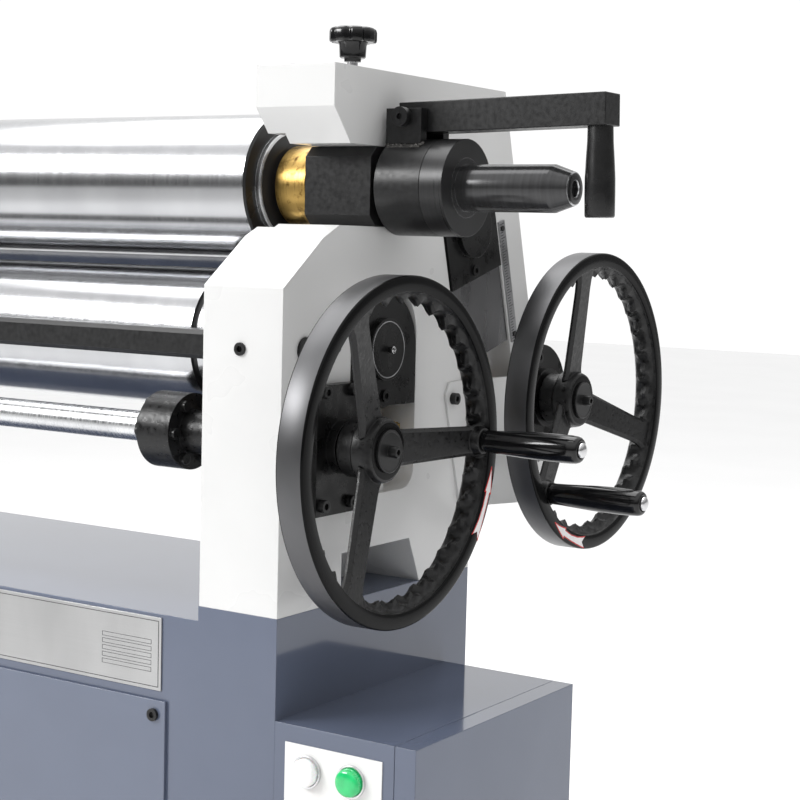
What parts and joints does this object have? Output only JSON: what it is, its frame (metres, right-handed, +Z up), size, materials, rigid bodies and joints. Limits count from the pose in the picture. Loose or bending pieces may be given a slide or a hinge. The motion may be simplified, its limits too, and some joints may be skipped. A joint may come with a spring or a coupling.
{
  "type": "slip roll machine",
  "caption": "Powered three-roll slip roll with two handwheel-driven lifts, a swing-out top roll, steel base and control box.",
  "frame": {"origin": "on the floor, midway between the side frames and under the middle of their feet", "axes": "+X along the rolls towards the handwheels, +Y away from the operator, +Z up"},
  "size_m": [2.0837, 0.6982, 1.143],
  "materials": {
    "base_paint": "smooth satin blue-grey enamel",
    "white_paint": "satin white enamel",
    "black_iron": "blackened, matte",
    "black_steel": "black oxide, low sheen",
    "steel": "turned and ground",
    "roll_steel": "ground and polished",
    "plate_metal": "fine brushed",
    "bronze": "machined bearing bronze",
    "drive_paint": "gloss blue enamel",
    "white_label": "smooth",
    "black_plastic": "moulded phenolic, glossy",
    "red_plastic": "moulded",
    "lens": "clear ribbed lens"
  },
  "bodies": {
    "base": {"base_cabinet": "base_paint", "foot_beams": "base_paint", "front_panel": "base_paint", "nameplate": "plate_metal", "right_frame": "white_paint", "left_frame": "white_paint", "front_tie_bar": "black_steel", "front_shaft_bearings": "black_iron", "rear_shaft_housings": "black_iron", "gear_hoods": "white_paint", "slide_scales": "plate_metal", "trunnion_pins": "steel", "frame_bolts": "steel", "frame_screws": "black_steel", "drive_guard": "base_paint", "torque_pin": "steel", "control_box": "base_paint", "control_label": "white_label", "panel_bezels": "plate_metal", "pilot_lenses": "lens", "door_hinge_pins": "steel", "cable_gland": "black_plastic"},
    "front_carriage": {"front_block_right": "black_iron", "front_block_left": "black_iron", "front_bearing_cap": "black_iron", "front_bushes": "bronze", "front_lift_screws": "steel", "gearbox": "drive_paint", "drive_motor": "drive_paint"},
    "front_roller": {"front_roll": "roll_steel"},
    "rear_carriage": {"rear_block_right": "steel", "rear_block_left": "steel", "rear_bearing_covers": "black_iron", "rear_bushes": "bronze", "rear_lift_screws": "steel"},
    "rear_roller": {"rear_roll": "roll_steel"},
    "top_swing": {"top_bearing_block": "black_steel", "top_bush": "bronze", "swivel_block": "black_steel", "lever_pin": "black_steel"},
    "top_roller": {"top_roll": "roll_steel", "shaft_collar": "black_steel"},
    "lever_arm": {"lever": "black_steel"},
    "clamp_tip": {"clamp_pad": "steel"},
    "clamp_screw": {"clamp_knob": "black_plastic"},
    "front_wheel": {"front_handwheel": "black_iron", "front_wheel_bolts": "steel", "front_cross_shaft": "steel", "front_coupling": "black_iron"},
    "front_grip": {"front_handle": "black_plastic"},
    "rear_wheel": {"rear_handwheel": "black_iron", "rear_wheel_bolts": "steel", "rear_cross_shaft": "steel"},
    "rear_grip": {"rear_handle": "black_plastic"},
    "front_gear_right": {"front_nut_right": "bronze"},
    "front_gear_left": {"front_nut_left": "bronze"},
    "rear_gear_right": {"rear_nut_right": "bronze"},
    "rear_gear_left": {"rear_nut_left": "bronze"},
    "door": {"box_door": "base_paint"},
    "stop": {"stop_button": "red_plastic"}
  },
  "joints": [
    {"name": "front_wheel_turn", "type": "hinge", "parent": "base", "child": "front_wheel", "pos_m": [0.774, -0.0877, 0.75], "axis": [1, 0, 0], "range_deg": [-1260, 945]},
    {"name": "front_lift", "type": "slide", "parent": "base", "child": "front_carriage", "axis": [0, 0, 1], "range_m": [-0.01401, 0.01051]},
    {"name": "front_gear_right_turn", "type": "hinge", "parent": "base", "child": "front_gear_right", "pos_m": [0.729, -0.003, 0.75], "axis": [0, 0, 1], "range_deg": [-316, 421]},
    {"name": "front_gear_left_turn", "type": "hinge", "parent": "base", "child": "front_gear_left", "pos_m": [-0.729, -0.003, 0.75], "axis": [0, 0, 1], "range_deg": [-316, 421]},
    {"name": "front_roll_spin", "type": "hinge", "parent": "front_carriage", "child": "front_roller", "pos_m": [0, -0.003, 0.836], "axis": [1, 0, 0], "continuous": true},
    {"name": "rear_wheel_turn", "type": "hinge", "parent": "base", "child": "rear_wheel", "pos_m": [0.774, 0.29053, 0.77317], "axis": [1, 0, 0], "range_deg": [-5400, 855]},
    {"name": "rear_lift", "type": "slide", "parent": "base", "child": "rear_carriage", "axis": [0, -0.2756, 0.9613], "range_m": [-0.06001, 0.00951]},
    {"name": "rear_gear_right_turn", "type": "hinge", "parent": "base", "child": "rear_gear_right", "pos_m": [0.729, 0.20911, 0.74982], "axis": [0, -0.2756, 0.9613], "range_deg": [-286, 1801]},
    {"name": "rear_gear_left_turn", "type": "hinge", "parent": "base", "child": "rear_gear_left", "pos_m": [-0.729, 0.20911, 0.74982], "axis": [0, -0.2756, 0.9613], "range_deg": [-286, 1801]},
    {"name": "rear_roll_spin", "type": "hinge", "parent": "rear_carriage", "child": "rear_roller", "pos_m": [0, 0.15002, 0.95592], "axis": [1, 0, 0], "continuous": true},
    {"name": "top_roll_swing", "type": "hinge", "parent": "base", "child": "top_swing", "pos_m": [-0.729, 0.005, 0.991], "axis": [0, 0, -1], "range_deg": [0, 12]},
    {"name": "top_roll_spin", "type": "hinge", "parent": "top_swing", "child": "top_roller", "pos_m": [0, 0.005, 0.991], "axis": [1, 0, 0], "continuous": true},
    {"name": "lever_fold", "type": "hinge", "parent": "top_swing", "child": "lever_arm", "pos_m": [0.8005, 0.005, 1.056], "axis": [0, -1, 0], "range_deg": [0, 85]},
    {"name": "clamp_travel", "type": "slide", "parent": "base", "child": "clamp_tip", "axis": [0, 0, 1], "range_m": [0, 0.00601]},
    {"name": "clamp_turn", "type": "hinge", "parent": "clamp_tip", "child": "clamp_screw", "pos_m": [0.729, -0.003, 1.071], "axis": [0, 0, 1], "range_deg": [0, 1080]},
    {"name": "front_handle_spin", "type": "hinge", "parent": "front_wheel", "child": "front_grip", "pos_m": [0.911, 0.0483, 0.75], "axis": [1, 0, 0], "continuous": true},
    {"name": "rear_handle_spin", "type": "hinge", "parent": "rear_wheel", "child": "rear_grip", "pos_m": [0.911, 0.18789, 0.68395], "axis": [1, 0, 0], "continuous": true},
    {"name": "door_swing", "type": "hinge", "parent": "base", "child": "door", "pos_m": [0.9033, 0.127, 0.307], "axis": [0, 0, 1], "range_deg": [0, 110]},
    {"name": "stop_push", "type": "slide", "parent": "base", "child": "stop", "axis": [0, 1, 0], "range_m": [0, 0.005]}
  ],
  "couplings": [
    {"joint": "front_lift", "follows": "front_wheel_turn", "m_per_rad": 0.00063662},
    {"joint": "front_gear_right_turn", "follows": "front_wheel_turn", "ratio": -0.33333},
    {"joint": "front_gear_left_turn", "follows": "front_wheel_turn", "ratio": -0.33333},
    {"joint": "rear_lift", "follows": "rear_wheel_turn", "m_per_rad": 0.00063662},
    {"joint": "rear_gear_right_turn", "follows": "rear_wheel_turn", "ratio": -0.33333},
    {"joint": "rear_gear_left_turn", "follows": "rear_wheel_turn", "ratio": -0.33333},
    {"joint": "clamp_travel", "follows": "clamp_turn", "m_per_rad": 0.00031831}
  ]
}
